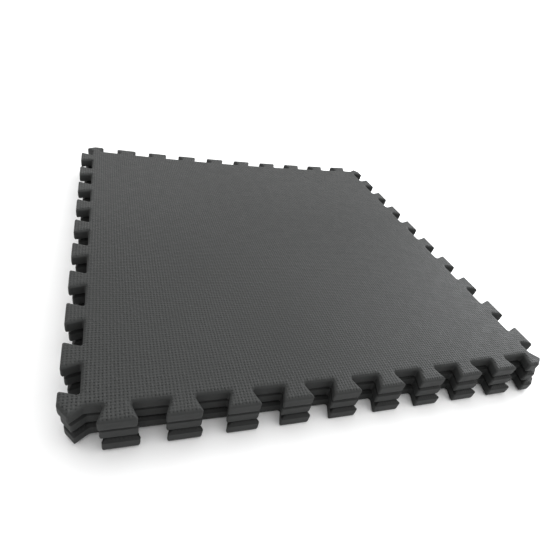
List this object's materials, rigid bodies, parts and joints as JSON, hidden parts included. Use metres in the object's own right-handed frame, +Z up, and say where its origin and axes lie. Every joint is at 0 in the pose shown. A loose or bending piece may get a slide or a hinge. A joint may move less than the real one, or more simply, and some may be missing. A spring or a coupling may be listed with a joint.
{
  "type": "interlocking foam blocking mats",
  "caption": "Stack of square charcoal foam mats with dovetail interlocking edges and a fine woven-pattern face, for pinning out knitting to dry.",
  "frame": {"origin": "on the floor under the centre of the stack", "axes": "+Z up through the stack, +X to the right along the front edge of the top mat, +Y towards the back edge"},
  "size_m": [0.6321, 0.63, 0.046],
  "materials": {
    "eva_foam": "matte closed-cell foam, embossed with a fine woven pattern on the upper face and smooth on the cut edges"
  },
  "bodies": {
    "bottom": {"bottom_mat": "eva_foam"},
    "middle": {"middle_mat": "eva_foam"},
    "top": {"top_mat": "eva_foam"}
  },
  "joints": [
    {"name": "middle_lift", "type": "slide", "parent": "bottom", "child": "middle", "axis": [0, 0, 1], "range_m": [0, 0.1]},
    {"name": "top_lift", "type": "slide", "parent": "middle", "child": "top", "axis": [0, 0, 1], "range_m": [0, 0.1]}
  ]
}
